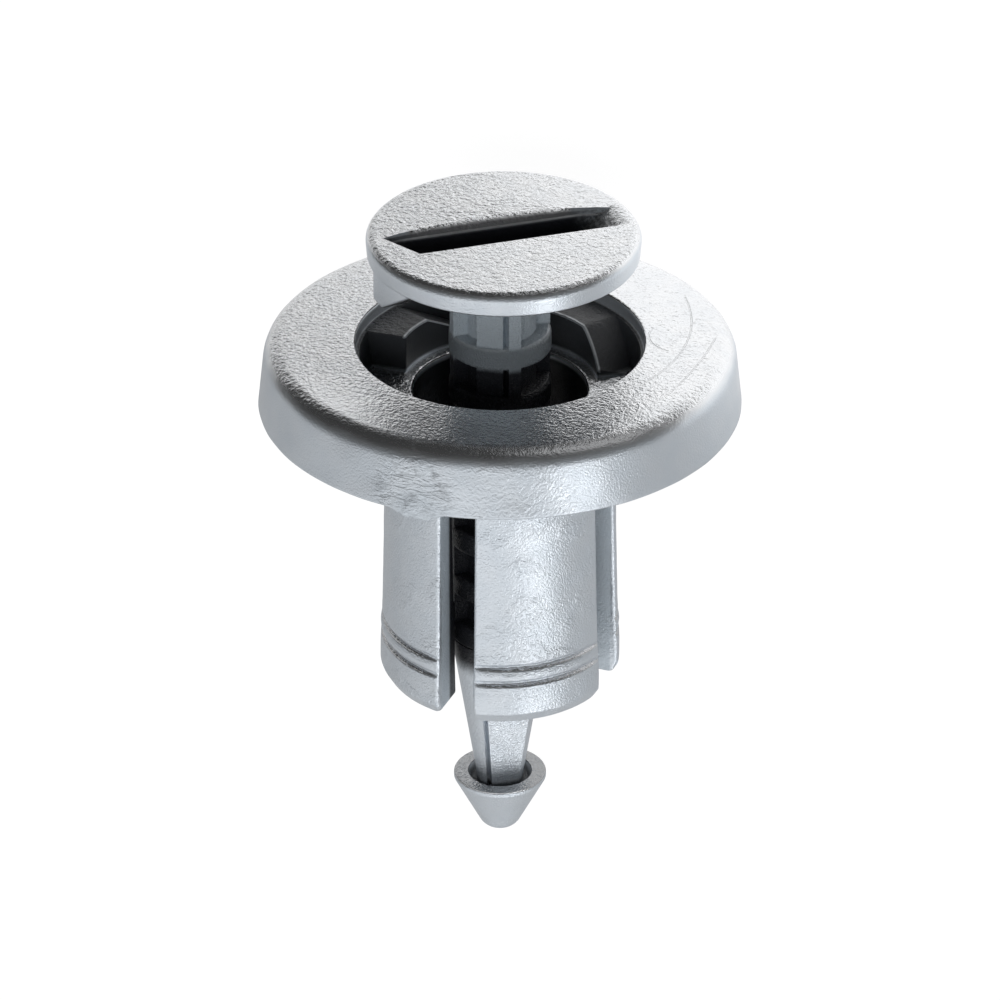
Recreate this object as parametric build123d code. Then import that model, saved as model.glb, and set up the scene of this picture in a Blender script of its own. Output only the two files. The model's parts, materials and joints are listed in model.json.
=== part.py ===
from build123d import *
import math
import os

# Quarter-turn push rivet for joining thin trim panels, in millimetres.
# Two mouldings: a grommet (dished flange on four split legs) and the slotted
# push pin that slides down its middle and holds the legs spread.
# Both are drawn upright, with the rivet's axis on Z and the flange's sealing
# edge at Z = 0, and are laid down on their side at the very end.

# Grommet: flange
flange_r = 10.0
flange_h = 2.9
flange_draft = 0.33             # the skirt leans in by this much at its top
flange_edge_r = 0.85
flange_wall = 1.0
hollow_draft = 0.25

# Grommet: recess that takes the pin's head
recess_r = 5.95
recess_step_depth = 0.6         # straight wall down to the step and the cams' tops
recess_step_w = 0.18
recess_floor_z = 0.65
recess_draft = 0.2
recess_edge = 0.12
recess_wall = 0.95

# Grommet: stem, a closed ring under the flange and four legs below it
stem_r = 4.78
stem_ring_h = 2.5
stem_hole_r = 3.6
leg_inner_r = 3.2
seam_angle = 1.8                # where the turned shell's seam lies, in degrees from X
leg_flare = 0.15
leg_end_z = -12.65
collar_r = 5.03
collar_h = 1.35
collar_blend_h = 1.9            # height over which the legs swell out to the collar
collar_lead_h = 0.5             # lead-in at the legs' ends, so that they find the panel's hole
collar_lead_w = 0.3
slot_narrow_w = 1.5
slot_wide_w = 1.95
slot_mouth_w = 0.12              # how much each side of a slot opens out at the skin
slot_mouth_depth = 0.12
bead_pitch = 0.75               # between the two grooves of each leg
lower_groove_h = 1.95           # above the legs' ends
groove_w = 0.28
groove_depth = 0.15
groove_fade = 0.6               # how far each groove's centre sits behind the axis

# Grommet: ribs inside the legs that the pin rides on
guide_rib_w = 0.6
guide_rib_h = 3.6
guide_ramp_h = 3.0

# Grommet: cams on the recess floor, in degrees anticlockwise from X
cam_inner_r = 4.1
cam_corner_r = 0.3
stop_cam_foot = 124.0
stop_cam_top = 159.0
stop_cam_end = 184.0
lift_cam_foot = 33.0
lift_cam_top = 55.0
lift_cam_end = 94.0
rest_cam_foot = 250.0
rest_cam_top = 272.0
rest_cam_end = 312.0
rest_cam_inner_r = 4.9

# Push pin: head and driver slot
head_lift = 4.6                 # how far the raised head stands above its seat
head_r = 5.67
head_h = 1.02
head_edge = 0.28
head_draft = 0.08
head_boss_r = 3.5
head_boss_h = 0.7
driver_angle = 39.3
driver_length = 9.4
driver_w = 1.15
driver_depth = 1.1
driver_ramp = 1.5
driver_lip_w = 1.75
driver_lip_depth = 0.33

# Push pin: cam tabs under the head, at the two ends of the driver slot
tab_h = 1.2
tab_flat_angle = 10.0
tab_ramp_angle = 21.0
tab_radial = 1.0

# Push pin: shank of rings and webs
pin_clearance = 0.06            # between the shank and the guide ribs
shank_r = 2.1
ring_h = 1.0
ring_pitch = 2.25
first_ring_z = 3.5
ring_count = 7
web_core_r = 1.5
web_w = 0.52
web_pad_w = 1.1
web_pad_r = 1.9
web_pad_angle = 30.0

# Push pin: wedge and arrow tip
wedge_end_r = 1.0
wedge_end_z = -17.9
wedge_flat = 0.8                # distance of a flat from the axis, as a share of the radius
wedge_groove_w = 0.2
wedge_groove_depth = 0.55
tip_r = 1.96
tip_rim_h = 0.2
tip_moat_r = 1.35
tip_moat_depth = 0.35
tip_end_z = -20.6
tip_nose_r = 0.66
tip_round_r = 0.8

# Levels and radii that follow from the sizes above
seat_z = flange_h - recess_step_depth
step_r = recess_r - recess_step_w
cup_r = step_r + recess_wall
skirt_top_r = flange_r - flange_draft
hollow_r = flange_r - flange_wall
collar_z = leg_end_z + collar_h
blend_z = collar_z + collar_blend_h
lower_groove_z = leg_end_z + lower_groove_h
head_z = seat_z + head_lift
boss_z = head_z - head_boss_h
wedge_top_z = first_ring_z - (ring_count - 1) * ring_pitch - ring_h
tilt = math.degrees(math.atan2(
    flange_r - math.sqrt(collar_r ** 2 - (0.5 * slot_narrow_w + slot_mouth_w) ** 2),
    -(leg_end_z + collar_lead_h)))


def ring_sector(inner_r, outer_r, low_z, high_z, start, end):
    """Block between two radii and two angles."""
    inner = CenterArc((0, 0), inner_r, start, end - start)
    outer = CenterArc((0, 0), outer_r, start, end - start)
    outline = [inner, outer, Line(inner @ 0, outer @ 0), Line(inner @ 1, outer @ 1)]
    return extrude(Pos(0, 0, low_z) * make_face(outline), amount=high_z - low_z)


def above_ramp(angle_low, angle_high, low_z, high_z, radius):
    """Everything above a plane that climbs from one angle to the other at a radius."""
    rise = math.degrees(math.atan2(high_z - low_z, radius * math.radians(angle_high - angle_low)))
    reach = 4 * recess_r
    block = Box(reach, reach, reach, align=(Align.CENTER, Align.MAX, Align.MIN))
    return Rot(0, 0, angle_high) * Pos(radius, 0, high_z) * Rot(rise, 0, 0) * block


def cam(foot, top, end, inner_r):
    """Block on the recess floor: a ramp, a level top and an upright end."""
    block = ring_sector(inner_r, 0.5 * (step_r + cup_r), 0.5 * recess_floor_z, seat_z, foot, end)
    block -= above_ramp(foot, top, recess_floor_z, seat_z, 0.5 * (inner_r + step_r))
    corner = Rot(0, 0, end) * Pos(inner_r, 0, 0.5 * seat_z) * Vertex(0, 0, 0)
    return fillet(block.edges().filter_by(Axis.Z).sort_by_distance(corner)[0], cam_corner_r)


def grommet_shell():
    """Flange, recess cup and stem, turned in one piece."""
    outline = Polyline(
        (stem_hole_r, recess_floor_z),
        (step_r - recess_draft, recess_floor_z),
        (step_r, seat_z),
        (recess_r, seat_z),
        (recess_r, flange_h),
        (skirt_top_r, flange_h),
        (flange_r, 0),
        (hollow_r, 0),
        (hollow_r - flange_draft - hollow_draft, flange_h - flange_wall),
        (cup_r, flange_h - flange_wall),
        (cup_r, 0),
        (stem_r, 0),
        (stem_r, -stem_ring_h),
        (stem_r + leg_flare, blend_z),
        (collar_r, collar_z),
        (collar_r, leg_end_z + collar_lead_h),
        (collar_r - collar_lead_w, leg_end_z),
        (leg_inner_r, leg_end_z),
        (stem_hole_r, -stem_ring_h),
        close=True,
    )
    section = make_face(outline)
    section = fillet(section.vertices().sort_by_distance((skirt_top_r, flange_h, 0))[0], flange_edge_r)
    section = chamfer(section.vertices().sort_by_distance((recess_r, flange_h, 0))[0], recess_edge)
    return Rot(0, 0, seam_angle) * revolve(Rot(90, 0, 0) * section, Axis.Z)


def leg_slot(width):
    """Slot right across the stem, opening out at the skin, below the closed ring."""
    mouth_r = stem_r - slot_mouth_depth
    half = 0.5 * width
    outline = Polyline(
        (0, -half),
        (mouth_r, -half),
        (stem_r, -half - slot_mouth_w),
        (flange_r, -half - slot_mouth_w),
        (flange_r, half + slot_mouth_w),
        (stem_r, half + slot_mouth_w),
        (mouth_r, half),
        (0, half),
        close=True,
    )
    side = extrude(Pos(0, 0, leg_end_z - 1) * make_face(outline), amount=-stem_ring_h - leg_end_z + 1)
    return side + Rot(0, 0, 180) * side


def leg_grooves():
    """Two grooves round each leg, which fade out before its edges."""
    cutters = []
    for leg in range(4):
        for row in range(2):
            level = lower_groove_z + row * bead_pitch
            share = (collar_z + collar_blend_h - level) / collar_blend_h
            skin_r = stem_r + leg_flare + min(1, share) * (collar_r - stem_r - leg_flare)
            notch = Polyline(
                (groove_fade + skin_r - groove_depth, 0),
                (groove_fade + skin_r + groove_depth, groove_w),
                (groove_fade + skin_r + groove_depth, -groove_w),
                close=True,
            )
            ring = revolve(Rot(90, 0, 0) * make_face(notch), Axis.Z)
            cutters.append(Rot(0, 0, 45 + 90 * leg) * Pos(-groove_fade, 0, level) * ring)
    return cutters


def guide_rib():
    """Gusset inside one leg, with its inner edge running beside the pin."""
    inner = shank_r + pin_clearance
    outer = 0.5 * (leg_inner_r + stem_r)
    outline = Polyline(
        (inner, leg_end_z),
        (inner, leg_end_z + guide_rib_h),
        (outer, leg_end_z + guide_rib_h + guide_ramp_h),
        (outer, leg_end_z),
        close=True,
    )
    return extrude(Rot(90, 0, 0) * make_face(outline), amount=0.5 * guide_rib_w, both=True)


def grommet():
    body = grommet_shell()
    body -= Rot(0, 0, 90) * leg_slot(slot_narrow_w)
    body -= leg_slot(slot_wide_w)
    body -= leg_grooves()
    body += [Rot(0, 0, 45 + 90 * leg) * guide_rib() for leg in range(4)]
    body += cam(stop_cam_foot, stop_cam_top, stop_cam_end, cam_inner_r)
    body += cam(lift_cam_foot, lift_cam_top, lift_cam_end, cam_inner_r)
    body += cam(rest_cam_foot, rest_cam_top, rest_cam_end, rest_cam_inner_r)
    return body


def pin_head():
    """Round head with the boss that carries the floor of its driver slot."""
    top_z = head_z + head_h
    disc = Pos(0, 0, head_z) * Cone(
        head_r - head_draft, head_r, head_h, align=(Align.CENTER, Align.CENTER, Align.MIN))
    disc = chamfer(disc.edges().sort_by(Axis.Z)[-1], head_edge)
    boss = Pos(0, 0, boss_z) * Cylinder(
        head_boss_r, head_boss_h + 0.5 * head_h, align=(Align.CENTER, Align.CENTER, Align.MIN))
    head = disc + boss
    long_side = Polyline(
        (-0.5 * driver_length, top_z),
        (-0.5 * driver_length + driver_ramp, top_z - driver_depth),
        (0.5 * driver_length - driver_ramp, top_z - driver_depth),
        (0.5 * driver_length, top_z),
        close=True,
    )
    deep = extrude(Rot(90, 0, 0) * make_face(long_side), amount=0.5 * driver_w, both=True)
    wide = extrude(Rot(90, 0, 0) * make_face(long_side), amount=0.5 * driver_lip_w, both=True)
    across = Polyline(
        (-0.5 * driver_lip_w, top_z), (0.5 * driver_lip_w, top_z),
        (0.5 * driver_w, top_z - driver_lip_depth), (-0.5 * driver_w, top_z - driver_lip_depth),
        close=True,
    )
    lip = extrude(Rot(90, 0, 90) * make_face(across), amount=0.5 * driver_length, both=True)
    return head - Rot(0, 0, driver_angle) * (deep + (wide & lip))


def cam_tab():
    """Tooth under the head's rim: upright face, flat foot and a ramp back up."""
    outer_r = head_r - head_draft
    end = tab_flat_angle + tab_ramp_angle
    low_z = head_z - tab_h
    tab = ring_sector(outer_r - tab_radial, outer_r, low_z, head_z + 0.5 * head_h, 0, end)
    slope = mirror(above_ramp(tab_flat_angle, end, 0, -tab_h, outer_r - 0.5 * tab_radial), Plane.XY)
    return tab - Pos(0, 0, low_z) * slope


def pin_shank():
    """Cylinder cored out into thin rings joined by a cross of webs."""
    shank = Pos(0, 0, wedge_top_z) * Cylinder(
        shank_r, boss_z - wedge_top_z, align=(Align.CENTER, Align.CENTER, Align.MIN))
    webs = Circle(web_core_r)
    webs += [Rot(0, 0, angle) * Rectangle(2 * shank_r + 1, web_w) for angle in (0, 90)]
    webs += [Rot(0, 0, angle - 90 - web_pad_angle) * Pos(0.5 * web_pad_r, 0) * Rectangle(web_pad_r, web_pad_w)
             for angle in (0, 180)]
    around = Rot(0, 0, driver_angle) * (Circle(shank_r + 1) - webs)
    shank -= Pos(0, 0, first_ring_z) * extrude(around, amount=boss_z - first_ring_z)
    for ring in range(ring_count - 1):
        gap_z = first_ring_z - (ring + 1) * ring_pitch
        shank -= Pos(0, 0, gap_z) * extrude(around, amount=ring_pitch - ring_h)
    return shank


def pin_wedge():
    """Cone that lets the legs close when the pin is up, with a flat and a groove each side."""
    height = wedge_top_z - wedge_end_z
    cone = Pos(0, 0, wedge_end_z) * Cone(
        wedge_end_r, shank_r, height, align=(Align.CENTER, Align.CENTER, Align.MIN))
    flat = Polyline(
        (wedge_flat * wedge_end_r, wedge_end_z), (wedge_flat * shank_r, wedge_top_z),
        (2 * shank_r, wedge_top_z), (2 * shank_r, wedge_end_z),
        close=True,
    )
    cutter = extrude(Rot(90, 0, 0) * make_face(flat), amount=2 * shank_r, both=True)
    edge = math.sqrt(1 - wedge_flat ** 2)
    groove = Polyline(
        (-edge * wedge_end_r, wedge_end_z), (-edge * shank_r, wedge_top_z),
        (-edge * shank_r - wedge_groove_w, wedge_top_z), (-edge * wedge_end_r - wedge_groove_w, wedge_end_z),
        close=True,
    )
    run = extrude(Rot(90, 0, 90) * make_face(groove), amount=2 * shank_r)
    floor = Polyline(
        (wedge_flat * wedge_end_r - wedge_groove_depth, wedge_end_z),
        (wedge_flat * shank_r - wedge_groove_depth, wedge_top_z),
        (2 * shank_r, wedge_top_z), (2 * shank_r, wedge_end_z),
        close=True,
    )
    run &= extrude(Rot(90, 0, 0) * make_face(floor), amount=2 * shank_r, both=True)
    for side in (-90, 90):
        cone -= Rot(0, 0, driver_angle + side) * (cutter + run)
    return cone


def pin_tip():
    """Arrow head with a moat round the wedge's foot and a blunt nose."""
    outline = Polyline(
        (0, wedge_end_z),
        (0, tip_end_z),
        (tip_nose_r, tip_end_z),
        (tip_r, wedge_end_z - tip_rim_h),
        (tip_r, wedge_end_z),
        (tip_moat_r, wedge_end_z),
        (0.5 * (tip_moat_r + wedge_end_r), wedge_end_z - tip_moat_depth),
        (wedge_end_r, wedge_end_z - tip_moat_depth),
        (wedge_end_r, wedge_end_z),
        close=True,
    )
    section = make_face(outline)
    section = fillet(section.vertices().sort_by_distance((tip_nose_r, tip_end_z, 0))[0], tip_round_r)
    return revolve(Rot(90, 0, 0) * section, Axis.Z)


def push_pin():
    body = pin_head() + pin_shank() + pin_wedge() + pin_tip()
    body += [Rot(0, 0, driver_angle + turn) * cam_tab() for turn in (0, 180)]
    return body


def laid_down(shape):
    """Turn the upright rivet to lie on its flange and on two of its legs."""
    return Rot(tilt - 90, 0, 0) * shape


os.makedirs("parts", exist_ok=True)
for name, shape in {"grommet": grommet(), "push_pin": push_pin()}.items():
    export_step(laid_down(shape), f"parts/{name}.step")
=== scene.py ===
import json
import math

import bmesh
import bpy
from mathutils import Matrix, Vector, noise


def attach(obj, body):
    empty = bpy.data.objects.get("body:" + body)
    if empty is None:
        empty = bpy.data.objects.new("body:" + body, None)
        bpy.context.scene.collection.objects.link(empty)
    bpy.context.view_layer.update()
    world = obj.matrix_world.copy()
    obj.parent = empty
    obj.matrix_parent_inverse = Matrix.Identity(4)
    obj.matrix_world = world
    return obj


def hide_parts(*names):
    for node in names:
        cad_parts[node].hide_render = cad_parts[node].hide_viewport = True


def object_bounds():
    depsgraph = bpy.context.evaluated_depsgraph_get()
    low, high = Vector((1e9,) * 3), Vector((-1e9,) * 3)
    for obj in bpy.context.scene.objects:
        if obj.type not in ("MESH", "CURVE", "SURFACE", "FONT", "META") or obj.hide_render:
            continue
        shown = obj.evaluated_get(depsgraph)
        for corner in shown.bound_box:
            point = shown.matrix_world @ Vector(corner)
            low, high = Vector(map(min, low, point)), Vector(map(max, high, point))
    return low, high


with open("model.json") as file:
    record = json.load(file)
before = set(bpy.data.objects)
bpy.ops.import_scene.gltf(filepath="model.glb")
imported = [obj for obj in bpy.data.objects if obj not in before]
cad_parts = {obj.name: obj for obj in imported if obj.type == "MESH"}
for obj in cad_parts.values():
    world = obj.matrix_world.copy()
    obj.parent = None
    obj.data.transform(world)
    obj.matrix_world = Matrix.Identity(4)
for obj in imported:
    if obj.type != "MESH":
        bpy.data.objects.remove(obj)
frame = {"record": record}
cad_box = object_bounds()


# Lie of the rivet
# Both mouldings are drawn upright in millimetres, the rivet's axis on Z and the
# flange's sealing edge at Z = 0, and are laid down on flange and legs at the end.

stem_mount = next(mount for mount in frame["record"]["mounts"] if mount["name"] == "stem")
rivet_axis = -Vector(stem_mount["axis"])
lean = 0.5 * math.pi - math.asin(rivet_axis.z)
laid_down = Matrix.Rotation(-lean, 4, "X") @ Matrix.Scale(0.001, 4)


# Lacquered plastic
# Black polyamide sprayed with silver lacquer. The lacquer is full on what faces out and
# dull as dry dust in the slots and at the shank's top. The black on most of the inside is
# painted shade, as is the darker, bluer silver of sideways faces.


class Wire:
    """Output of a node; sums, products and the like of wires add Math nodes."""

    def __init__(self, socket):
        self.socket = socket

    def node(self, kind, settings=None, inputs=None, output=0):
        """New node in this wire's tree; an input takes a value, a wire or a list of wires."""
        tree = self.socket.id_data
        made = tree.nodes.new(kind)
        for name, value in (settings or {}).items():
            setattr(made, name, value)
        for name, value in (inputs or {}).items():
            for one in value if isinstance(value, list) else [value]:
                if isinstance(one, Wire):
                    tree.links.new(one.socket, made.inputs[name])
                else:
                    made.inputs[name].default_value = one
        return Wire(made.outputs[output])

    def maths(self, operation, *values):
        return self.node("ShaderNodeMath", {"operation": operation}, dict(enumerate(values)))

    def vectors(self, operation, *values, output=0):
        return self.node("ShaderNodeVectorMath", {"operation": operation}, dict(enumerate(values)), output)

    def __add__(self, other):
        return self.maths("ADD", self, other)

    __radd__ = __add__

    def __sub__(self, other):
        return self.maths("SUBTRACT", self, other)

    def __rsub__(self, other):
        return self.maths("SUBTRACT", other, self)

    def __mul__(self, other):
        return self.maths("MULTIPLY", self, other)

    __rmul__ = __mul__

    def __truediv__(self, other):
        return self.maths("DIVIDE", self, other)

    def between(self, low, high):
        """0 at low, 1 at high, eased in between."""
        return self.node(
            "ShaderNodeMapRange", {"interpolation_type": "SMOOTHSTEP"},
            {"Value": self, "From Min": low, "From Max": high})

    def mixed(self, first, second):
        """Colour that goes from the first to the second as this wire goes from 0 to 1."""
        return self.node(
            "ShaderNodeMix", {"data_type": "RGBA"}, {0: self, 6: first, 7: second}, output=2)

    def grain(self, per_mm, detail=2.0, roughness=0.5, distortion=0.0):
        """Noise of this many cells a millimetre, on a wire of positions."""
        return self.node("ShaderNodeTexNoise", None, {
            "Vector": self, "Scale": per_mm, "Detail": detail, "Roughness": roughness,
            "Distortion": distortion})


class Finish:
    """New material whose wires give the place on the upright rivet, in millimetres."""

    silver = (0.84, 0.85, 0.865, 1)
    # Darker, bluer silver of the faces turned sideways: painted shade.
    side_shaded_silver = (0.68, 0.736, 0.795, 1)
    dusty_blue = (0.52, 0.61, 0.68, 1)
    # Black: painted shade in hollows and under things, and bare plastic only where worn.
    black = (0.012, 0.013, 0.017, 1)
    relief_depth = 0.000035

    def __init__(self, name):
        self.material = bpy.data.materials.new(name)
        self.material.use_nodes = True
        coordinates = self.material.node_tree.nodes.new("ShaderNodeTexCoord")
        as_it_lies = Wire(coordinates.outputs["Object"])
        self.place = as_it_lies.node("ShaderNodeMapping", None, {
            "Vector": as_it_lies, "Rotation": (lean, 0, 0), "Scale": (1000, 1000, 1000)})
        self.x = self.place.node("ShaderNodeSeparateXYZ", None, {0: self.place})
        self.y = Wire(self.x.socket.node.outputs[1])
        self.z = Wire(self.x.socket.node.outputs[2])
        self.flat_place = self.place.vectors("MULTIPLY", self.place, (1, 1, 0))
        self.radius = self.flat_place.vectors("LENGTH", self.flat_place, output=1)
        facing = Wire(coordinates.outputs["Normal"])
        self.upward = facing.vectors("DOT_PRODUCT", facing, tuple(rivet_axis), output=1)
        self.on_top = self.upward.between(0.55, 0.95)
        self.fine = self.place.grain(13.0, 1.0)

    def near(self, point, far, full):
        """1 within full of a point on the upright rivet, 0 beyond far."""
        apart = self.place.vectors("DISTANCE", self.place, point, output=1)
        return apart.between(far, full)

    def leather(self, depth):
        """Relief that a spark-eroded mould leaves on what faces up the axis."""
        return self.on_top * (self.place.grain(5.5, 2.5, 0.55, 0.3) * depth)

    def lacquered(self, silver_less_shade_and_wear, dull, relief):
        """Silver where the share given first is 1 and black where it is 0; the black is painted shade in
        hollows and bare plastic only where worn. Dull where the silver is dry dust.
        """
        # Sideways faces are painted in shade with a darker, bluer silver; they are also drier.
        sideways = self.upward.between(0.75, 0.3)
        clouds = self.place.grain(0.9, 3.0).between(0.3, 0.7)
        silver = (sideways * 0.85 + clouds * 0.15).mixed(self.silver, self.side_shaded_silver)
        dryness = sideways * 0.22 + dull
        gloss = 0.07 + self.upward.between(0.6, 0.9) * 0.06 - dryness * 0.2
        skin = {
            "Base Color": silver_less_shade_and_wear.mixed(self.black, dull.mixed(silver, self.dusty_blue)),
            "Metallic": silver_less_shade_and_wear * (0.95 - dryness),
            "Roughness": 0.34 - silver_less_shade_and_wear * gloss + clouds * 0.04,
            "Normal": relief.node("ShaderNodeBump", None, {
                "Strength": 1.0, "Distance": self.relief_depth, "Height": relief}),
        }
        shader = self.material.node_tree.nodes["Principled BSDF"]
        for name, wire in skin.items():
            self.material.node_tree.links.new(wire.socket, shader.inputs[name])


# Grommet
# The outer moulding: dished flange, cup for the pin's head, closed ring of stem and
# four legs. The gate was broken off at the flange's edge and left a torn scar there.

flange_r = 10.0
flange_h = 2.9
skirt_top_r = 9.67
skirt_inner_r = 9.0
recess_r = 5.95
step_r = 5.77
seat_z = 2.3
recess_floor_z = 0.65
cup_r = 6.72
hollow_top_z = 1.9
stem_r = 4.78
stem_ring_h = 2.5
stem_hole_r = 3.6
leg_inner_r = 3.2
leg_end_z = -12.65
leg_skin = [(-stem_ring_h, stem_r), (-9.4, 4.93), (-11.3, 5.03), (-12.15, 5.03), (leg_end_z, 4.73)]
groove_levels = (-10.7, -9.95)
groove_half_h = 0.19
groove_depth = 0.15
groove_half_arc = 37.5
groove_reach = 0.3
bead_half_h = 0.2
bead_relief = 0.035
grommet_finish = Finish("grommet_plastic")


def rounded(outline, steps=8):
    """Points of an outline whose corners are given as (radius, height, rounding)."""
    points = []
    for index, (x, y, rounding) in enumerate(outline):
        corner = Vector((x, y))
        if rounding == 0:
            points.append(corner)
            continue
        before = (Vector(outline[index - 1][:2]) - corner).normalized()
        after = (Vector(outline[(index + 1) % len(outline)][:2]) - corner).normalized()
        half = 0.5 * before.angle(after)
        centre = corner + (before + after).normalized() * rounding / math.sin(half)
        first = corner + before * rounding / math.tan(half) - centre
        last = corner + after * rounding / math.tan(half) - centre
        for step in range(steps + 1):
            points.append(centre + first.lerp(last, step / steps).normalized() * rounding)
    return points


def piece_from(name, bm):
    """Object of a closed mesh with its faces pointing outwards."""
    bmesh.ops.remove_doubles(bm, verts=bm.verts, dist=1e-5)
    bmesh.ops.triangulate(bm, faces=[face for face in bm.faces if len(face.verts) > 4])
    bmesh.ops.recalc_face_normals(bm, faces=bm.faces)
    mesh = bpy.data.meshes.new(name)
    bm.to_mesh(mesh)
    bm.free()
    piece = bpy.data.objects.new(name, mesh)
    bpy.context.scene.collection.objects.link(piece)
    return piece


def turned(name, points, steps, whole=True):
    """Outline turned round Z; one that isn't whole has its two open ends filled flat."""
    bm = bmesh.new()
    loops = []
    for step in range(steps):
        azimuth = math.tau * step / steps
        loops.append([bm.verts.new((p.x * math.cos(azimuth), p.x * math.sin(azimuth), p.y)) for p in points])
    for near, far in zip(loops, loops[1:] + loops[:1]):
        for index in range(len(points) if whole else len(points) - 1):
            after = (index + 1) % len(points)
            bm.faces.new((near[index], near[after], far[after], far[index]))
    if not whole:
        bmesh.ops.holes_fill(bm, edges=bm.edges)
    return piece_from(name, bm)


def lofted(name, rows):
    """Closed skin over loops of points with one count, flat at both ends."""
    bm = bmesh.new()
    loops = [[bm.verts.new(point) for point in row] for row in rows]
    for low, high in zip(loops, loops[1:]):
        for index in range(len(low)):
            after = (index + 1) % len(low)
            bm.faces.new((low[index], low[after], high[after], high[index]))
    bm.faces.new(loops[0])
    bm.faces.new(loops[-1])
    return piece_from(name, bm)


def turned_by(piece, degrees):
    """Piece turned about the rivet's axis."""
    piece.data.transform(Matrix.Rotation(math.radians(degrees), 4, "Z"))
    return piece


def applied(piece):
    """Piece with the plain mesh that its modifiers make."""
    evaluated = piece.evaluated_get(bpy.context.evaluated_depsgraph_get())
    piece.data = bpy.data.meshes.new_from_object(evaluated)
    piece.modifiers.clear()
    return piece


def combined(body, tool, operation):
    """Body joined to a tool or cut by it; the tool is used up."""
    modifier = body.modifiers.new(operation, "BOOLEAN")
    modifier.operation = operation
    modifier.solver = "MANIFOLD"
    modifier.object = tool
    applied(body)
    bpy.data.objects.remove(tool)


def skin_r(height):
    """Outside radius of the legs at a height."""
    for (high, high_r), (low, low_r) in zip(leg_skin, leg_skin[1:]):
        if height >= low:
            share = min(1, (high - height) / (high - low))
            return high_r + share * (low_r - high_r)
    return leg_skin[-1][1]


def with_fine_rows(outline, leg_row=0.04, skirt_row=0.14, other_row=0.55):
    """Outline with rows close together on the skirt and at the grooves, whose skins are uneven."""
    rows = []
    for here, there in zip(outline, outline[1:] + outline[:1]):
        middle = 0.5 * (here + there)
        on_leg = middle.x > stem_r + 0.02 and middle.y < -3
        on_skirt = middle.x > 9.4 and middle.y > 0
        longest = leg_row if on_leg else skirt_row if on_skirt else other_row
        count = max(1, math.ceil((there - here).length / longest))
        for step in range(count):
            point = here.lerp(there, step / count)
            by_groove = min(abs(point.y - level) for level in groove_levels) < groove_reach
            if by_groove or not on_leg or step % 12 == 0:
                rows.append(point)
    return rows


shell_outline = rounded([
    (stem_hole_r, recess_floor_z, 0.14),
    (step_r - 0.2, recess_floor_z, 0.22),
    (step_r, seat_z, 0.07),
    (recess_r, seat_z, 0.06),
    (recess_r, flange_h, 0.13),
    (skirt_top_r, flange_h, 0.85),
    (flange_r, 0, 0.12),
    (skirt_inner_r, 0, 0.12),
    (8.42, hollow_top_z, 0.35),
    (cup_r, hollow_top_z, 0.3),
    (cup_r, 0, 0.12),
    (stem_r, 0, 0.25),
    (stem_r, -stem_ring_h, 0),
    (leg_skin[1][1], leg_skin[1][0], 0),
    (leg_skin[2][1], leg_skin[2][0], 0.5),
    (leg_skin[3][1], leg_skin[3][0], 0.22),
    (leg_skin[4][1], leg_end_z, 0.12),
    (leg_inner_r, leg_end_z, 0.12),
    (stem_hole_r, -stem_ring_h, 0),
])
grommet = turned("grommet_moulding", with_fine_rows(shell_outline), 360)

scar_azimuth = math.radians(-88.5)
scar_z = 0.9
scar_half_w = 2.1
scar_half_h = 1.25
lip_azimuth = math.radians(-88)
lip_half_w = 1.15
lip_drop = 0.45
lip_top_z = 0.3


def hump(across):
    """1 in the middle of a band, eased down to 0 at its edge, where across is 1."""
    return 0.5 * (1 + math.cos(math.pi * across)) if across < 1 else 0


def groove_cut(height):
    """Depth of a collar's two grooves at a height, less the bead between them."""
    depth = 0
    for level in groove_levels:
        depth += groove_depth * hump(abs(height - level) / groove_half_h)
    return depth - bead_relief * hump(abs(height - sum(groove_levels) / 2) / bead_half_h)


def worn_leg(vertex, outward):
    """Grooves that fade out towards the slots beside each leg, on a slightly wavy skin."""
    x, y, z = vertex.co
    around = abs((math.degrees(math.atan2(y, x)) % 90) - 45)
    fade = max(0, 1 - (around / groove_half_arc) ** 6)
    vertex.co -= outward * groove_cut(z) * fade
    vertex.co += outward * (noise.noise(Vector((x, y, z)) * 1.3) * 0.012)


def torn_skirt(vertex, outward):
    """Ripples in the gate's scar, and the ragged lip of flash that hangs under it."""
    x, y, z = vertex.co
    radius = math.hypot(x, y)
    azimuth = math.atan2(y, x)
    scar_across = radius * (azimuth - scar_azimuth) / scar_half_w
    torn = max(0, 1 - scar_across ** 2 - ((z - scar_z) / scar_half_h) ** 2)
    if radius > 9.6:
        ripple = noise.fractal(Vector((x * 1.1 + z, z * 3.2 - x, 4.0)), 0.9, 2.0, 4)
        vertex.co += outward * min(1, 1.6 * torn) * (0.03 * ripple - 0.01)
        vertex.co += outward * noise.noise(Vector((x, y, z)) * 0.8) * 0.02
    if z < lip_top_z:
        lip = max(0, 1 - (radius * (azimuth - lip_azimuth) / lip_half_w) ** 2)
        ragged = 0.75 + 0.6 * noise.noise(Vector((x * 3.1, 0, 7.0)))
        vertex.co.z -= lip_drop * lip * ragged * (1 - z / lip_top_z)


for vertex in grommet.data.vertices:
    x, y, z = vertex.co
    radius = math.hypot(x, y)
    outward = Vector((x / radius, y / radius, 0))
    if radius > stem_r + 0.02 and z < -stem_ring_h and radius > skin_r(z) - 0.1:
        worn_leg(vertex, outward)
    elif radius > skirt_inner_r and z < 2.6:
        torn_skirt(vertex, outward)
    else:
        vertex.co.z += noise.noise(Vector((x, y, z)) * 0.9) * 0.012

narrow_slot_w = 1.5
wide_slot_w = 1.95
slot_mouth = 0.15
slot_corner = 0.25
past_skin = 7


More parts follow.
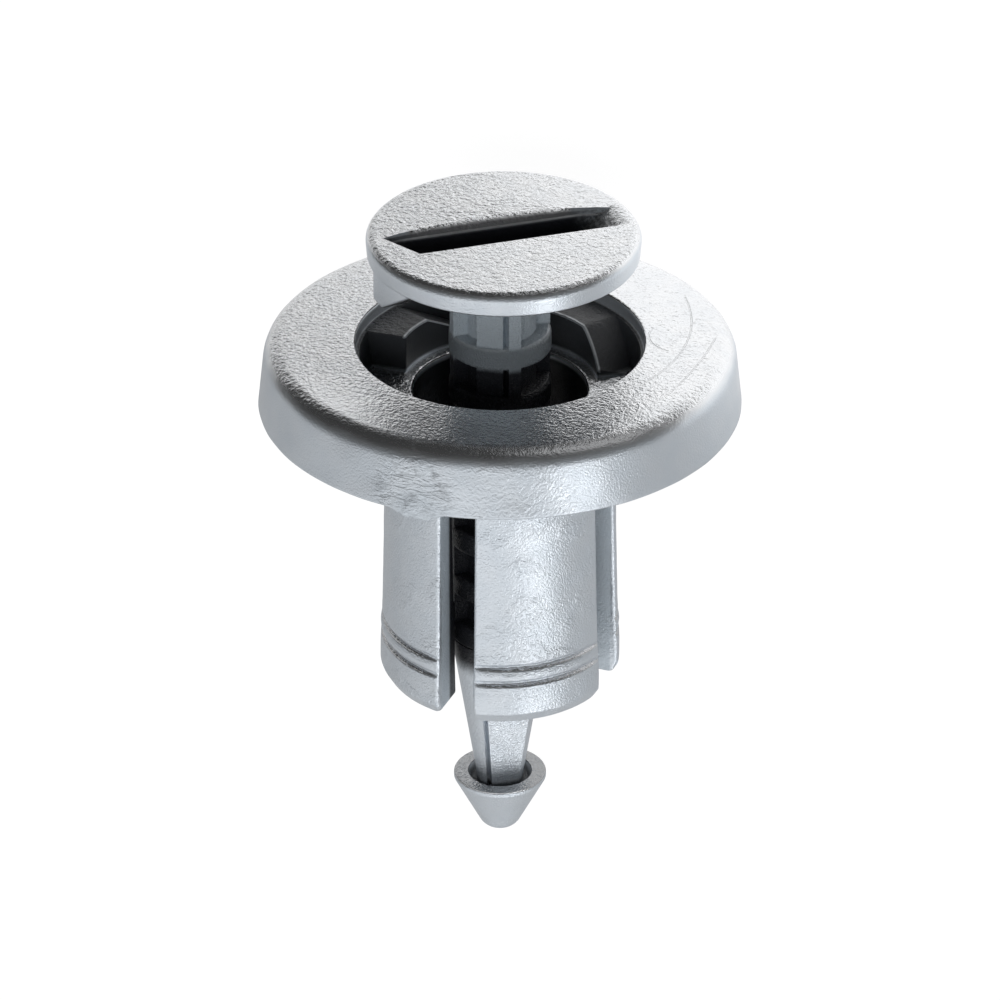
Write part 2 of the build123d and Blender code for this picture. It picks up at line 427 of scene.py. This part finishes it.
def slot_rows(width):
    """Loops for a slot across the stem: rounded at the skin and at the legs' ends."""
    quarter = [math.radians(turn) for turn in range(0, 91, 15)]
    heights = [-stem_ring_h] + [-3.0 - 0.6 * step for step in range(16)]
    heights += [leg_end_z + slot_corner * (1 - math.sin(turn)) for turn in quarter]
    heights.append(leg_end_z - 0.5)
    rows = []
    for height in sorted(heights, reverse=True):
        drop = min(1, max(0, (leg_end_z + slot_corner - height) / slot_corner))
        half = 0.5 * width + slot_corner * (1 - math.sqrt(1 - drop ** 2))
        reach = math.sqrt(skin_r(height) ** 2 - (half + slot_mouth) ** 2)
        side = [
            (half + slot_mouth * (1 - math.cos(turn)), reach - slot_mouth * (1 - math.sin(turn)))
            for turn in quarter]
        side.append((half + slot_mouth, past_skin))
        loop = side + [(-across, out) for across, out in reversed(side)]
        loop += [(-across, -out) for across, out in side]
        loop += [(across, -out) for across, out in reversed(side)]
        rows.append([(across, out, height) for across, out in loop])
    return rows


combined(grommet, lofted("narrow_slot", slot_rows(narrow_slot_w)), "DIFFERENCE")
combined(grommet, turned_by(lofted("wide_slot", slot_rows(wide_slot_w)), 90), "DIFFERENCE")


# Grommet: cams
# Ramps on the recess floor that the tabs under the pin's head climb when it is turned.
# They are moulded on the cup's floor and wall, and each ends upright at the seat's level.

cam_inner_r = 4.1
rest_cam_inner_r = 4.9
cam_outer_r = 6.25
cam_root_z = 0.3
cam_foot_z = 0.45
cam_edge_rounding = 0.1


def softened(piece, width):
    """Edges of a simple block rounded before it is joined to its body."""
    modifier = piece.modifiers.new("rounding", "BEVEL")
    modifier.width = width
    modifier.segments = 3
    modifier.limit_method = "ANGLE"
    modifier.angle_limit = math.radians(35)
    return applied(piece)


def sector(name, inner_r, outer_r, low, high, start, end):
    """Block between two radii and two azimuths, from the height low to the height high."""
    steps = 24
    rows = []
    for step in range(steps + 1):
        azimuth = math.radians(start + (end - start) * step / steps)
        corners = [(inner_r, low), (outer_r, low), (outer_r, high), (inner_r, high)]
        rows.append([
            (radius * math.cos(azimuth), radius * math.sin(azimuth), level(azimuth, radius))
            for radius, level in corners])
    return lofted(name, rows)


def cam_top(foot, top, inner_r):
    """Height of a cam's plane ramp, level past its top."""
    top = math.radians(top)
    slope = (seat_z - recess_floor_z) / (0.5 * (inner_r + step_r) * (top - math.radians(foot)))

    def level(azimuth, radius):
        if azimuth >= top:
            return seat_z
        return max(cam_foot_z, seat_z - slope * radius * math.sin(top - azimuth))

    return level


for cam_name, foot, top, end, inner_r in [
        ("stop_cam", 124, 159, 184, cam_inner_r),
        ("lift_cam", 33, 55, 94, cam_inner_r),
        ("rest_cam", 250, 272, 312, rest_cam_inner_r)]:
    cam = sector(
        cam_name, inner_r, cam_outer_r, lambda azimuth, radius: cam_root_z,
        cam_top(foot, top, inner_r), foot, end)
    combined(grommet, softened(cam, cam_edge_rounding), "UNION")


# Grommet: guide ribs
# A gusset inside each of the four legs, moulded with it. The pin's shank rides on the
# upright inner edges of the four.


def tree_wires(tree, sizes):
    """Named inputs of a new geometry tree, as wires."""
    tree.interface.new_socket("Geometry", in_out="INPUT", socket_type="NodeSocketGeometry")
    for name, value in sizes.items():
        kind = "NodeSocketInt" if isinstance(value, int) else "NodeSocketFloat"
        tree.interface.new_socket(name, in_out="INPUT", socket_type=kind)
    tree.interface.new_socket("Material", in_out="INPUT", socket_type="NodeSocketMaterial")
    tree.interface.new_socket("Geometry", in_out="OUTPUT", socket_type="NodeSocketGeometry")
    entry = tree.nodes.new("NodeGroupInput")
    return {socket.name: Wire(socket) for socket in entry.outputs if socket.name}


def closed_tree(tree, geometry, material):
    """End of a tree: its instances made real and its material set."""
    real = geometry.node("GeometryNodeRealizeInstances", None, {0: geometry})
    finished = real.node("GeometryNodeSetMaterial", None, {"Geometry": real, "Material": material})
    tree.links.new(finished.socket, tree.nodes.new("NodeGroupOutput").inputs[0])


def grown(piece, tree, sizes, material):
    """Piece with the plain mesh that a geometry tree makes of it."""
    modifier = piece.modifiers.new(tree.name, "NODES")
    modifier.node_group = tree
    values = {**sizes, "Material": material}
    for item in tree.interface.items_tree:
        if item.in_out == "INPUT" and item.name in values:
            modifier[item.identifier] = values[item.name]
    return applied(piece)


def round_the_axis(piece, count, first_azimuth, material):
    """Copies of a piece at equal turns about the rivet's axis."""
    sizes = {"Copies": count, "First Azimuth": math.radians(first_azimuth)}
    tree = bpy.data.node_groups.new("copies_round_the_axis", "GeometryNodeTree")
    wires = tree_wires(tree, sizes)
    points = wires["Copies"].node("GeometryNodePoints", None, {"Count": wires["Copies"]})
    azimuth = points.node("GeometryNodeInputIndex") * math.tau / wires["Copies"] + wires["First Azimuth"]
    turn = azimuth.node("FunctionNodeEulerToRotation", None, {
        0: azimuth.node("ShaderNodeCombineXYZ", None, {2: azimuth})})
    copies = points.node("GeometryNodeInstanceOnPoints", None, {
        "Points": points, "Instance": wires["Geometry"], "Rotation": turn})
    closed_tree(tree, copies, wires["Material"])
    return grown(piece, tree, sizes, material)


rib_edge_r = 2.16
rib_root_r = 4.0
rib_half_w = 0.3
rib_end_z = -12.62
rib_shoulder_z = -9.05
rib_top_z = -6.05
rib_edge_rounding = 0.08
rib_section = [
    (rib_edge_r, rib_end_z), (rib_edge_r, rib_shoulder_z), (rib_root_r, rib_top_z), (rib_root_r, rib_end_z)]
rib = lofted("guide_rib", [[(r, side, z) for r, z in rib_section] for side in (-rib_half_w, rib_half_w)])
ribs = round_the_axis(softened(rib, rib_edge_rounding), 4, 45, grommet_finish.material)
combined(grommet, ribs, "UNION")


# Grommet: lacquer, wear and painted shade
# Silver on flange and legs. The black on the cup's walls and cams and behind the legs' skin
# is painted shade, with a painted highlight along the cams' inner edges. The scar and a
# patch beside it are crumpled, and three fine arcs are scored into the flange.


def scratch(skin, centre, radius, middle, half_length):
    """Fine arc scored into the flange's top."""
    apart = skin.place.vectors("DISTANCE", skin.flat_place, (*centre, 0), output=1)
    offset = apart - radius
    line = offset.maths("ABSOLUTE", offset).between(0.045, 0.015)
    return line * skin.near((*middle, flange_h), half_length + 0.5, half_length - 0.3)


def on_skirt(azimuth, height):
    """Point on the outside of the flange's skirt."""
    azimuth = math.radians(azimuth)
    return (flange_r * math.cos(azimuth), flange_r * math.sin(azimuth), height)


def lacquer_grommet(skin):
    """Where the grommet's lacquer shows and where painted shade darkens it, where it is dusty, and what
    roughens it.
    """
    # Painted shade in black: the cup's walls and cams above its floor, and everything inside the stem and
    # legs.
    in_cup = skin.radius.between(6.0, 5.86) * skin.z.between(2.84, 2.55) * skin.z.between(-1.5, -0.5)
    shade_behind_skin = skin.radius.between(3.95, 3.7) * skin.z.between(0.55, 0.35)
    above_floor = skin.z.between(0.66, 0.85)
    # Painted highlight: a thin band along the cams' inner top edges keeps more silver.
    painted_cam_edge_highlight = skin.radius.between(cam_inner_r - 0.06, cam_inner_r - 0.01)
    painted_cam_edge_highlight = painted_cam_edge_highlight * skin.radius.between(4.27, 4.2) * skin.upward.between(0.1, 0.3)
    on_legs = skin.z.between(0.0, -0.5)
    in_slots = skin.radius.between(4.74, 4.64) * skin.z.between(-2.45, -2.7)
    patches = skin.place.grain(0.55, 1.0).between(0.5, 0.62) * on_legs
    scar = skin.near(on_skirt(-89, 0.8), 2.3, 1.2)
    crumpled = skin.near(on_skirt(-64, 0.8), 3.4, 1.4)
    torn_lip = skin.near(on_skirt(-88, -0.1), 1.3, 0.7)
    scored = scratch(skin, (-0.99, 1.43), 8.30, (7.24, 2.51), 3.83)
    scored = scored + scratch(skin, (-12.51, 1.14), 20.82, (8.31, 0.78), 2.54)
    scored = scored + scratch(skin, (6.91, 3.04), 1.42, (5.76, 2.22), 0.8)

    # Cup and inside go black as painted shade, lighter on the cams' inner edge as a painted highlight; the
    # scar loses lacquer in grainy patches.
    silver_less_shade_and_wear = (1 - in_cup * (0.03 + above_floor * (0.9 - painted_cam_edge_highlight * 0.6))) * (1 - shade_behind_skin)
    silver_less_shade_and_wear = silver_less_shade_and_wear * (1 - scar * skin.place.grain(1.6, 3.0, 0.6, 0.8).between(0.5, 0.75) * 0.4)
    dull = in_cup * above_floor * 0.3 + torn_lip * 0.2 + in_slots * 0.5

    wrinkled = skin.place.vectors("MULTIPLY", skin.place, (1, 1, 2.4))
    leather_depth = (1.5 + skin.x.between(3.0, -7.0) * 1.6) * (0.45 + skin.y.between(-8.0, -4.0) * 0.55)
    relief = skin.leather(leather_depth)
    relief = relief + skin.fine * 0.35 + on_legs * skin.fine * 0.4
    relief = relief + scar * wrinkled.grain(1.9, 3.0, 0.6, 1.2) * 1.5
    relief = relief + crumpled * skin.place.grain(3.6, 3.0, 0.55, 1.0) * 0.8
    relief = relief + patches * skin.place.grain(5.0, 2.0, 0.5, 0.8) * 1.2
    skin.lacquered(silver_less_shade_and_wear, dull, relief - skin.on_top * scored * 1.6)


def laid(piece, material):
    """Finished piece: smooth but for its sharp edges, in metres, in the rivet's lie."""
    piece.data.shade_smooth()
    piece.data.set_sharp_from_angle(angle=math.radians(55))
    weighted = piece.modifiers.new("weighted_normals", "WEIGHTED_NORMAL")
    weighted.keep_sharp = True
    weighted.weight = 50
    applied(piece)
    piece.data.transform(laid_down)
    piece.data.materials.clear()
    piece.data.materials.append(material)


lacquer_grommet(grommet_finish)
laid(grommet, grommet_finish.material)
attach(grommet, "grommet")
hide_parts("grommet")


# Push pin: head
# A round head, a hair off the pin's axis, with a driver slot across it and, under its
# rim at the slot's ends, the two tabs that climb the grommet's cams.

head_r = 5.67
head_z = 6.9
head_h = 1.02
head_top_z = head_z + head_h
head_shift = 0.15 * Vector((math.cos(math.radians(22)), math.sin(math.radians(22)), 0))
boss_z = 6.2
boss_r = 3.5
driver_azimuth = 39.3
driver_start = -4.4
driver_end = 4.82
driver_depth = 1.1
driver_front = -0.93
start_ramp_length = 1.25
end_ramp_length = 1.5
facet_middle = 1.47
facet_bow = 0.033
pin_finish = Finish("pin_plastic")

head_outline = rounded([
    (4.6, head_top_z, 0),
    (head_r, head_top_z, 0.36),
    (head_r - 0.08, head_z, 0.1),
    (boss_r, head_z, 0.2),
    (boss_r, boss_z, 0.12),
    (2.6, boss_z, 0),
])
push_pin = turned("push_pin_moulding", head_outline, 240, whole=False)


def driver_section(station):
    """Loop across the driver slot: a straight front wall and, behind, a bowed facet over a ridge."""
    start_ramp = (station - driver_start) * driver_depth / start_ramp_length
    end_ramp = (driver_end - station) * driver_depth / end_ramp_length
    depth = min(driver_depth, start_ramp, end_ramp)
    skew = -0.6 * min(1, max(0, (-1.5 - station) / 2.6))
    back = max(0.6, facet_middle - facet_bow * station ** 2)
    ridge = min(0.96, back - 0.04)
    across = [
        (-0.3, driver_front), (0.0, driver_front), (0.04, -0.905), (0.6, -0.89), (driver_depth, -0.87),
        (driver_depth, 0.82), (0.36, ridge - 0.06), (0.30, ridge), (0.25, ridge + 0.04),
        (0.0, back), (-0.3, back)]
    loop = []
    for index, (down, side) in enumerate(across):
        down = min(down, depth - 0.001 * abs(index - 5))
        loop.append((station + skew * side, side, head_top_z - down))
    return loop


stations = [
    -4.75, -4.6, driver_start, -4.2, -3.9, -3.6, -3.3, -3.0, -2.0, -1.0, 0, 1.0, 2.0, 3.0, 3.32, 3.7,
    4.1, 4.5, driver_end, 5.1]
driver = lofted("driver_slot", [driver_section(station) for station in stations])
combined(push_pin, turned_by(driver, driver_azimuth), "DIFFERENCE")

tab_inner_r = 4.59
tab_middle_r = 5.09
tab_outer_r = 5.585
tab_h = 1.2
tab_low_z = head_z - tab_h
tab_turn = 31
tab_foot_turn = 10
tab_edge_rounding = 0.09


def tab_foot(azimuth, radius):
    """Level foot of a tab, then a ramp back up to the head."""
    past = max(0, azimuth - math.radians(tab_foot_turn))
    ramp = past * radius * tab_h / (tab_middle_r * math.radians(tab_turn - tab_foot_turn))
    return min(head_z + 0.1, tab_low_z + ramp)


tab = sector(
    "cam_tab", tab_inner_r, tab_outer_r, tab_foot, lambda azimuth, radius: head_z + 0.35, 0, tab_turn)
tabs = round_the_axis(softened(tab, tab_edge_rounding), 2, driver_azimuth, pin_finish.material)
combined(push_pin, tabs, "UNION")
push_pin.data.transform(Matrix.Translation(head_shift))


# Push pin: shank
# Cored out into thin rings on a slim core with a cross of webs and one broad pad, so
# that it moulds without sinks. It is one moulding with the head.

shank_sizes = {
    "Rings": 7, "Ring Radius": 2.12, "Ring Height": 1.0, "Ring Pitch": 2.25, "First Ring": 3.0,
    "Edge Rounding": 0.2, "Core Radius": 1.5, "Web Width": 0.52, "Web Reach": 2.08,
    "Pad Width": 1.1, "Pad Reach": 1.9, "Pad Azimuth": math.radians(240), "Top": 6.35, "Bottom": -10.8,
}
shank_tree = bpy.data.node_groups.new("cored_shank", "GeometryNodeTree")
wires = tree_wires(shank_tree, shank_sizes)
start = wires["Top"]
shank_length = wires["Top"] - wires["Bottom"]
middle_z = (wires["Top"] + wires["Bottom"]) * 0.5


def point_of(x, y, z):
    return start.node("ShaderNodeCombineXYZ", None, {0: x, 1: y, 2: z})


def stacked_rings():
    """Rings with rounded edges, set one under the other."""
    depth = wires["Ring Radius"] - wires["Core Radius"] + 0.2
    section = start.node("GeometryNodeCurvePrimitiveQuadrilateral", None, {
        "Width": depth, "Height": wires["Ring Height"]})
    section = start.node("GeometryNodeFilletCurve", {"mode": "POLY"}, {
        "Curve": section, "Count": 4, "Radius": wires["Edge Rounding"]})
    path = start.node("GeometryNodeCurvePrimitiveCircle", None, {
        "Resolution": 120, "Radius": wires["Ring Radius"] - depth * 0.5})
    ring = start.node("GeometryNodeCurveToMesh", None, {"Curve": path, "Profile Curve": section})
    levels = start.node("GeometryNodeMeshLine", None, {
        "Count": wires["Rings"], "Start Location": point_of(0.0, 0.0, wires["First Ring"]),
        "Offset": point_of(0.0, 0.0, 0 - wires["Ring Pitch"])})
    rings = start.node("GeometryNodeInstanceOnPoints", None, {"Points": levels, "Instance": ring})
    return start.node("GeometryNodeRealizeInstances", None, {0: rings})


def slim_core():
    """Round bar as long as the shank."""
    core = start.node("GeometryNodeMeshCylinder", None, {
        "Vertices": 96, "Radius": wires["Core Radius"], "Depth": shank_length})
    return start.node("GeometryNodeTransform", None, {
        "Geometry": core, "Translation": point_of(0.0, 0.0, middle_z)})


def web(reach, width, azimuth):
    """Upright plate through the core, a hair shorter than it."""
    plate = start.node("GeometryNodeMeshCube", None, {
        "Size": point_of(reach * 2.0, width, shank_length * 0.999)})
    return start.node("GeometryNodeTransform", None, {
        "Geometry": plate, "Translation": point_of(0.0, 0.0, middle_z),
        "Rotation": point_of(0.0, 0.0, azimuth)})


shank = start.node("GeometryNodeMeshBoolean", {"operation": "UNION", "solver": "MANIFOLD"}, {
    "Mesh 2": [
        slim_core(),
        stacked_rings(),
        web(wires["Web Reach"], wires["Web Width"], 0.0),
        web(wires["Web Reach"], wires["Web Width"], 0.5 * math.pi),
        web(wires["Pad Reach"], wires["Pad Width"], wires["Pad Azimuth"]),
    ]})
closed_tree(shank_tree, shank, wires["Material"])
cored_shank = bpy.data.objects.new("shank", bpy.data.meshes.new("shank"))
bpy.context.scene.collection.objects.link(cored_shank)
grown(cored_shank, shank_tree, shank_sizes, pin_finish.material)
combined(push_pin, turned_by(cored_shank, driver_azimuth), "UNION")


# Push pin: wedge and arrow tip
# The tapered end that lets the legs close while the pin is up, and the arrow that
# finds the hole. A moat runs round the wedge's foot.

wedge_top_z = -11.0
wedge_end_z = -17.9
wedge_top_r = 2.09
wedge_end_r = 1.0
wedge_core_r = 0.6
wedge_foot_z = -18.35
moat_z = -18.25
tip_r = 1.96
tip_end_z = -20.6
well_clear = 4


def wedge_r(height):
    """Radius of the wedge at a height."""
    share = (height - wedge_end_z) / (wedge_top_z - wedge_end_z)
    return wedge_end_r + share * (wedge_top_r - wedge_end_r)


wedge_levels = (wedge_end_z, -16, -14, -12.5, wedge_top_z + 0.03)
wedge_outline = [Vector((wedge_core_r, wedge_foot_z)), Vector((wedge_end_r, wedge_foot_z))]
wedge_outline += [Vector((wedge_r(level), level)) for level in wedge_levels]
wedge_outline.append(Vector((wedge_core_r, wedge_levels[-1])))
wedge = turned("wedge", wedge_outline, 96, whole=False)
for side in (-90, 90):
    flat_rows = []
    groove_rows = []
    for z in (-18.6, wedge_end_z, wedge_top_z - 0.02):
        wide_r = max(wedge_end_r, wedge_r(z))
        flat = 0.8 * wide_r
        flat_rows.append([(flat, -3, z), (flat, 3, z), (well_clear, 3, z), (well_clear, -3, z)])
        groove = -0.6 * wide_r
        groove_rows.append([
            (flat - 0.5, groove - 0.17, z), (flat - 0.5, groove, z),
            (well_clear, groove + 0.02, z), (well_clear, groove - 0.2, z)])
    for tool_name, rows in (("wedge_flat", flat_rows), ("wedge_groove", groove_rows)):
        combined(wedge, turned_by(lofted(tool_name, rows), driver_azimuth + side), "DIFFERENCE")
combined(push_pin, wedge, "UNION")

tip_outline = rounded([
    (0.4, moat_z, 0),
    (1.175, moat_z, 0.08),
    (1.35, wedge_end_z, 0.05),
    (tip_r, wedge_end_z, 0.07),
    (tip_r, wedge_end_z - 0.2, 0.06),
    (0.66, tip_end_z, 0.8),
    (0.12, tip_end_z, 0),
])
combined(push_pin, turned("tip", tip_outline, 144, whole=False), "UNION")


# Push pin: lacquer and painted shade
# Silver on the head, the wedge and the tip. The shank is dusted at its top. Below that, and in
# the driver slot, under the head and in the moat, it is painted shade in black or nearly so,
# with a painted highlight along the slot's ridge.


def lacquer_pin(skin):
    """Where the pin's lacquer shows and where painted shade darkens it, where it is dusty, and what roughens
    it.
    """
    below_head = skin.radius.between(3.3, 2.9) * skin.z.between(6.5, 6.2)
    shank_side = below_head * skin.z.between(-12.6, -11.6)
    # Painted shade down the shank: black below the top ring, half dark on that ring, nearly none above it.
    painted_shade_on_shank = shank_side * (0.985 - skin.z.between(2.3, 2.6) * 0.4 - skin.z.between(3.35, 3.6) * 0.55)
    on_shank = below_head * skin.z.between(-11.5, -9.0)
    # Painted shade: black on faces turned down under the head, and most of the way in the moat round the
    # wedge's foot.
    shade_under_head = skin.upward.between(-0.4, -0.8) * skin.z.between(5.5, 5.65)
    shade_in_moat = skin.radius.between(1.4, 1.25) * skin.z.between(-17.9, -18.15) * skin.z.between(-18.6, -18.4)

    # Painted shade in the driver slot, deeper below its ridge, with a painted highlight along the ridge; the
    # far ramp is spared in grainy patches.
    below_top = skin.z.between(head_top_z - 0.03, head_top_z - 0.16)
    below_ridge = skin.z.between(head_top_z - 0.3, head_top_z - 0.4)
    painted_ridge_highlight = skin.z.between(head_top_z - 0.34, head_top_z - 0.3)
    painted_ridge_highlight = painted_ridge_highlight * skin.z.between(head_top_z - 0.24, head_top_z - 0.27)
    shade_in_slot = below_top * (0.86 + below_ridge * 0.14) * (1 - painted_ridge_highlight * 0.5)
    shade_in_slot = shade_in_slot * skin.z.between(head_z - 0.5, head_z) * skin.radius.between(5.35, 5.15)
    slot_way = (math.cos(math.radians(driver_azimuth)), math.sin(math.radians(driver_azimuth)), 0)
    far_ramp = skin.place.vectors("DOT_PRODUCT", skin.place, slot_way, output=1).between(3.3, 4.8)
    shade_in_slot = shade_in_slot * (1 - far_ramp * (0.25 + skin.place.grain(6.0, 2.0).between(0.4, 0.65) * 0.6))

    silver_less_shade_and_wear = (1 - painted_shade_on_shank) * (1 - shade_in_slot) * (1 - shade_under_head) * (1 - shade_in_moat * 0.7)
    relief = skin.leather(1.9 + skin.x.between(1.5, -5.0) * 1.6)
    relief = relief + skin.fine * (0.5 + on_shank * 1.5 + skin.z.between(-10.5, -12.0) * 0.6)
    skin.lacquered(silver_less_shade_and_wear, on_shank * 0.66, relief)


lacquer_pin(pin_finish)
laid(push_pin, pin_finish.material)
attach(push_pin, "push_pin")
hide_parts("push_pin")


# Table, lamps and camera
# The rivet lies on a table top that shows white to the camera and, to the lacquer that
# mirrors it, glows like a lamp: a painted glow, grey in front, dim far behind the rivet,
# bright just behind and beside it and brightest to one side. Soft lamps and camera are
# placed by angles about the rivet's own axis.

floor_z = cad_box[0].z
half_table = 0.8
table_mesh = bpy.data.meshes.new("table_top")
table_mesh.from_pydata([
    (-half_table, -half_table, floor_z), (half_table, -half_table, floor_z),
    (half_table, half_table, floor_z), (-half_table, half_table, floor_z)], [], [(0, 1, 2, 3)])
table_top = bpy.data.objects.new("table_top", table_mesh)
bpy.context.scene.collection.objects.link(table_top)

white = bpy.data.materials.new("white_table")
white.use_nodes = True
white_shader = white.node_tree.nodes["Principled BSDF"]
white_shader.inputs["Base Color"].default_value = (0.92, 0.92, 0.92, 1)
white_shader.inputs["Roughness"].default_value = 0.9
table_top.data.materials.append(white)
path = white.node_tree.nodes.new("ShaderNodeLightPath")
straight = Wire(path.outputs["Is Camera Ray"])
mirrored = Wire(path.outputs["Is Glossy Ray"])
floor_place = Wire(white.node_tree.nodes.new("ShaderNodeTexCoord").outputs["Object"])
across = floor_place.node("ShaderNodeSeparateXYZ", None, {0: floor_place})
along = Wire(across.socket.node.outputs[1])
# Painted glow that only reflections see: grey in front, dim far behind, bright close behind the rivet and
# brighter to one side.
behind = along.between(-0.004, 0.008)
beside = floor_place.vectors("LENGTH", floor_place, output=1).between(0.062, 0.034)
painted_reflection_glow = 0.5 - behind * 0.42 + behind * beside * (0.78 + across.between(-0.022, 0.004) * 0.34)
glow = straight.node("ShaderNodeEmission", None, {
    "Color": straight * 1.2 + (1 - straight) * painted_reflection_glow, "Strength": 1.0})
table_finish = straight.node("ShaderNodeMixShader", None, {
    0: straight * 0.8 + mirrored, 1: Wire(white_shader.outputs["BSDF"]), 2: glow})
white.node_tree.links.new(table_finish.socket, white.node_tree.nodes["Material Output"].inputs["Surface"])


def about_the_axis(azimuth, elevation):
    """Direction at two angles in degrees about the rivet's own axis, as the rivet lies."""
    azimuth = math.radians(azimuth)
    elevation = math.radians(elevation)
    return laid_down.to_3x3().normalized() @ Vector((
        math.cos(azimuth) * math.cos(elevation),
        math.sin(azimuth) * math.cos(elevation),
        math.sin(elevation)))


def aimed(thing, backward, place):
    """Object of a lamp or camera at a place, looking against the direction backward."""
    holder = bpy.data.objects.new(thing.name, thing)
    right = rivet_axis.cross(backward).normalized()
    upward = backward.cross(right)
    holder.matrix_world = Matrix((*zip(right, upward, backward, place), (0, 0, 0, 1)))
    bpy.context.scene.collection.objects.link(holder)
    return holder


def softbox(name, azimuth, elevation, distance, width, height, radiance):
    """Rectangular lamp aimed at the rivet."""
    lamp = bpy.data.lights.new(name, "AREA")
    lamp.shape = "RECTANGLE"
    lamp.size = width
    lamp.size_y = height
    lamp.energy = radiance * math.pi * width * height
    towards = about_the_axis(azimuth, elevation)
    return aimed(lamp, towards, towards * distance)


studio = bpy.data.worlds.new("studio")
studio.use_nodes = True
skyward = Wire(studio.node_tree.nodes.new("ShaderNodeTexCoord").outputs["Generated"])
aloft = skyward.vectors("DOT_PRODUCT", skyward, tuple(rivet_axis), output=1)
ahead = skyward.vectors("DOT_PRODUCT", skyward, tuple(about_the_axis(-85, -28)), output=1)
light = 0.03 + aloft.between(0.02, -0.36) * 0.66 + ahead.between(0.67, 1.0) * 0.42
studio.node_tree.links.new(light.socket, studio.node_tree.nodes["Background"].inputs["Color"])
bpy.context.scene.world = studio

softbox("key_softbox", 20, 58, 0.35, 0.30, 0.30, 0.35)
softbox("strip_softbox", -31, -30, 0.45, 0.085, 0.40, 2.9)
fill = softbox("fill_softbox", -72, 14, 0.35, 0.20, 0.10, 5.0)
fill.visible_glossy = False

camera_distance = 0.3
lens_to_sensor = 7.19911
aim_z = -4.712
camera = bpy.data.cameras.new("camera")
camera.sensor_width = 36
camera.lens = lens_to_sensor * camera.sensor_width
camera.clip_start = 0.01
camera.clip_end = 10
backward = about_the_axis(-68, 29.604)
bpy.context.scene.camera = aimed(
    camera, backward, laid_down @ Vector((0, 0, aim_z)) + camera_distance * backward)
bpy.context.scene.view_settings.view_transform = "Standard"
